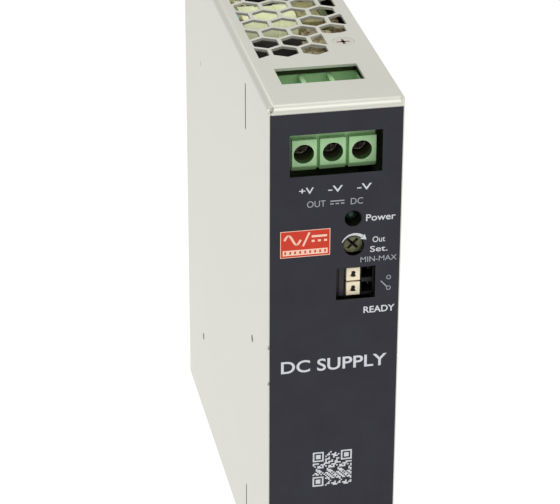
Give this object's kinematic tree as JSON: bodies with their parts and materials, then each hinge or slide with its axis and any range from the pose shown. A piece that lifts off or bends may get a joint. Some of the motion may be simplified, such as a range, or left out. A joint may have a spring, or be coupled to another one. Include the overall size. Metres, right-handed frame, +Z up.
{
  "type": "din rail power supply",
  "caption": "Slim metal-cased power supply that clips on a top-hat rail, with recessed screw terminals, status lamp, trimmer, push-in signal connector and honeycomb vents.",
  "frame": {"origin": "centre of the seat that lies on the rail's face, at the rail's centre line", "axes": "+X right seen from the front, +Y back into the rail, +Z up"},
  "size_m": [0.0296, 0.1146, 0.1315],
  "materials": {
    "case_metal": "satin passivated sheet",
    "front_print": "fine matt overlay",
    "zinc_steel": "zinc plated",
    "spring_steel": "drawn wire",
    "terminal_green": "moulded, slightly glossy",
    "contact_tin": "tin plated copper",
    "lamp_green": "dark tinted lens",
    "black_plastic": "moulded",
    "trimmer_blue": "moulded",
    "rotor_metal": "dull plated",
    "button_cream": "moulded",
    "board_green": "solder mask on glass laminate",
    "film_black": "insulating film",
    "can_sleeve": "shrink sleeve on aluminium can",
    "ferrite": "sintered",
    "tape_yellow": "polyester tape",
    "disc_blue": "dipped coating",
    "choke_copper": "enamelled copper wire",
    "heat_sink_metal": "milled",
    "package_black": "moulded",
    "box_grey": "moulded case",
    "fuse_ceramic": "glazed tube",
    "thermistor_green": "lacquered disc"
  },
  "bodies": {
    "housing": {"housing_shell": "case_metal", "side_cover": "case_metal", "front_label": "front_print", "cover_screws": "zinc_steel", "rail_bracket": "zinc_steel", "latch_keepers": "zinc_steel", "rivets": "zinc_steel", "latch_spring": "spring_steel", "output_terminal_block": "terminal_green", "input_terminal_block": "terminal_green", "output_contacts": "contact_tin", "input_contacts": "contact_tin", "trimmer_body": "trimmer_blue", "status_lamp": "lamp_green", "lamp_spacer": "black_plastic", "signal_connector": "black_plastic", "signal_contacts": "contact_tin", "main_board": "board_green", "front_board": "board_green", "signal_board": "board_green", "board_headers": "black_plastic", "board_standoffs": "zinc_steel", "board_screws": "zinc_steel", "insulation_film": "film_black", "output_capacitors": "can_sleeve", "transformer_core": "ferrite", "transformer_winding": "tape_yellow", "transformer_bobbin": "black_plastic", "line_filter_disc": "disc_blue", "upper_heat_sink": "heat_sink_metal", "power_transistors": "package_black", "output_choke": "ferrite", "bulk_capacitor": "can_sleeve", "line_choke": "choke_copper", "line_capacitor": "box_grey", "line_fuse": "fuse_ceramic", "inrush_thermistor": "thermistor_green", "bridge_rectifier": "package_black", "pfc_choke_core": "ferrite", "pfc_choke_winding": "tape_yellow", "lower_heat_sink": "heat_sink_metal", "ready_relay": "box_grey", "optocouplers": "package_black", "control_card": "board_green"},
    "rail_latch": {"rail_latch": "zinc_steel"},
    "trimmer_rotor": {"trimmer_rotor": "rotor_metal"},
    "release_button_1": {"release_button_1": "button_cream"},
    "release_button_2": {"release_button_2": "button_cream"},
    "output_screw_1": {"output_screw_1": "zinc_steel"},
    "output_clamp_1": {"output_clamp_1": "contact_tin"},
    "output_screw_2": {"output_screw_2": "zinc_steel"},
    "output_clamp_2": {"output_clamp_2": "contact_tin"},
    "output_screw_3": {"output_screw_3": "zinc_steel"},
    "output_clamp_3": {"output_clamp_3": "contact_tin"},
    "input_screw_1": {"input_screw_1": "zinc_steel"},
    "input_clamp_1": {"input_clamp_1": "contact_tin"},
    "input_screw_2": {"input_screw_2": "zinc_steel"},
    "input_clamp_2": {"input_clamp_2": "contact_tin"},
    "input_screw_3": {"input_screw_3": "zinc_steel"},
    "input_clamp_3": {"input_clamp_3": "contact_tin"}
  },
  "joints": [
    {"name": "latch_slide", "type": "slide", "parent": "housing", "child": "rail_latch", "axis": [0, 0, -1], "range_m": [0, 0.0045], "stiffness_N_per_m": 1500, "springref_m": -0.003, "deforming": ["latch_spring"]},
    {"name": "trimmer_turn", "type": "hinge", "parent": "housing", "child": "trimmer_rotor", "pos_m": [0.0042, -0.1082, 0.0282], "axis": [0, 1, 0], "range_deg": [-130, 130]},
    {"name": "release_press_1", "type": "slide", "parent": "housing", "child": "release_button_1", "axis": [0, 1, 0], "range_m": [0, 0.0012], "stiffness_N_per_m": 1500, "springref_m": -0.0005},
    {"name": "release_press_2", "type": "slide", "parent": "housing", "child": "release_button_2", "axis": [0, 1, 0], "range_m": [0, 0.0012], "stiffness_N_per_m": 1500, "springref_m": -0.0005},
    {"name": "output_screw_turn_1", "type": "hinge", "parent": "housing", "child": "output_screw_1", "pos_m": [-0.00635, -0.1035, 0.0493], "axis": [0, 1, 0], "range_deg": [0, 1440]},
    {"name": "output_clamp_rise_1", "type": "slide", "parent": "housing", "child": "output_clamp_1", "axis": [0, -1, 0], "range_m": [0, 0.002]},
    {"name": "output_screw_turn_2", "type": "hinge", "parent": "housing", "child": "output_screw_2", "pos_m": [0, -0.1035, 0.0493], "axis": [0, 1, 0], "range_deg": [0, 1440]},
    {"name": "output_clamp_rise_2", "type": "slide", "parent": "housing", "child": "output_clamp_2", "axis": [0, -1, 0], "range_m": [0, 0.002]},
    {"name": "output_screw_turn_3", "type": "hinge", "parent": "housing", "child": "output_screw_3", "pos_m": [0.00635, -0.1035, 0.0493], "axis": [0, 1, 0], "range_deg": [0, 1440]},
    {"name": "output_clamp_rise_3", "type": "slide", "parent": "housing", "child": "output_clamp_3", "axis": [0, -1, 0], "range_m": [0, 0.002]},
    {"name": "input_screw_turn_1", "type": "hinge", "parent": "housing", "child": "input_screw_1", "pos_m": [-0.00635, -0.1035, -0.0493], "axis": [0, 1, 0], "range_deg": [0, 1440]},
    {"name": "input_clamp_rise_1", "type": "slide", "parent": "housing", "child": "input_clamp_1", "axis": [0, -1, 0], "range_m": [0, 0.002]},
    {"name": "input_screw_turn_2", "type": "hinge", "parent": "housing", "child": "input_screw_2", "pos_m": [0, -0.1035, -0.0493], "axis": [0, 1, 0], "range_deg": [0, 1440]},
    {"name": "input_clamp_rise_2", "type": "slide", "parent": "housing", "child": "input_clamp_2", "axis": [0, -1, 0], "range_m": [0, 0.002]},
    {"name": "input_screw_turn_3", "type": "hinge", "parent": "housing", "child": "input_screw_3", "pos_m": [0.00635, -0.1035, -0.0493], "axis": [0, 1, 0], "range_deg": [0, 1440]},
    {"name": "input_clamp_rise_3", "type": "slide", "parent": "housing", "child": "input_clamp_3", "axis": [0, -1, 0], "range_m": [0, 0.002]}
  ],
  "couplings": [
    {"joint": "output_screw_turn_1", "follows": "output_clamp_rise_1", "rad_per_m": 12566},
    {"joint": "output_screw_turn_2", "follows": "output_clamp_rise_2", "rad_per_m": 12566},
    {"joint": "output_screw_turn_3", "follows": "output_clamp_rise_3", "rad_per_m": 12566},
    {"joint": "input_screw_turn_1", "follows": "input_clamp_rise_1", "rad_per_m": 12566},
    {"joint": "input_screw_turn_2", "follows": "input_clamp_rise_2", "rad_per_m": 12566},
    {"joint": "input_screw_turn_3", "follows": "input_clamp_rise_3", "rad_per_m": 12566}
  ]
}
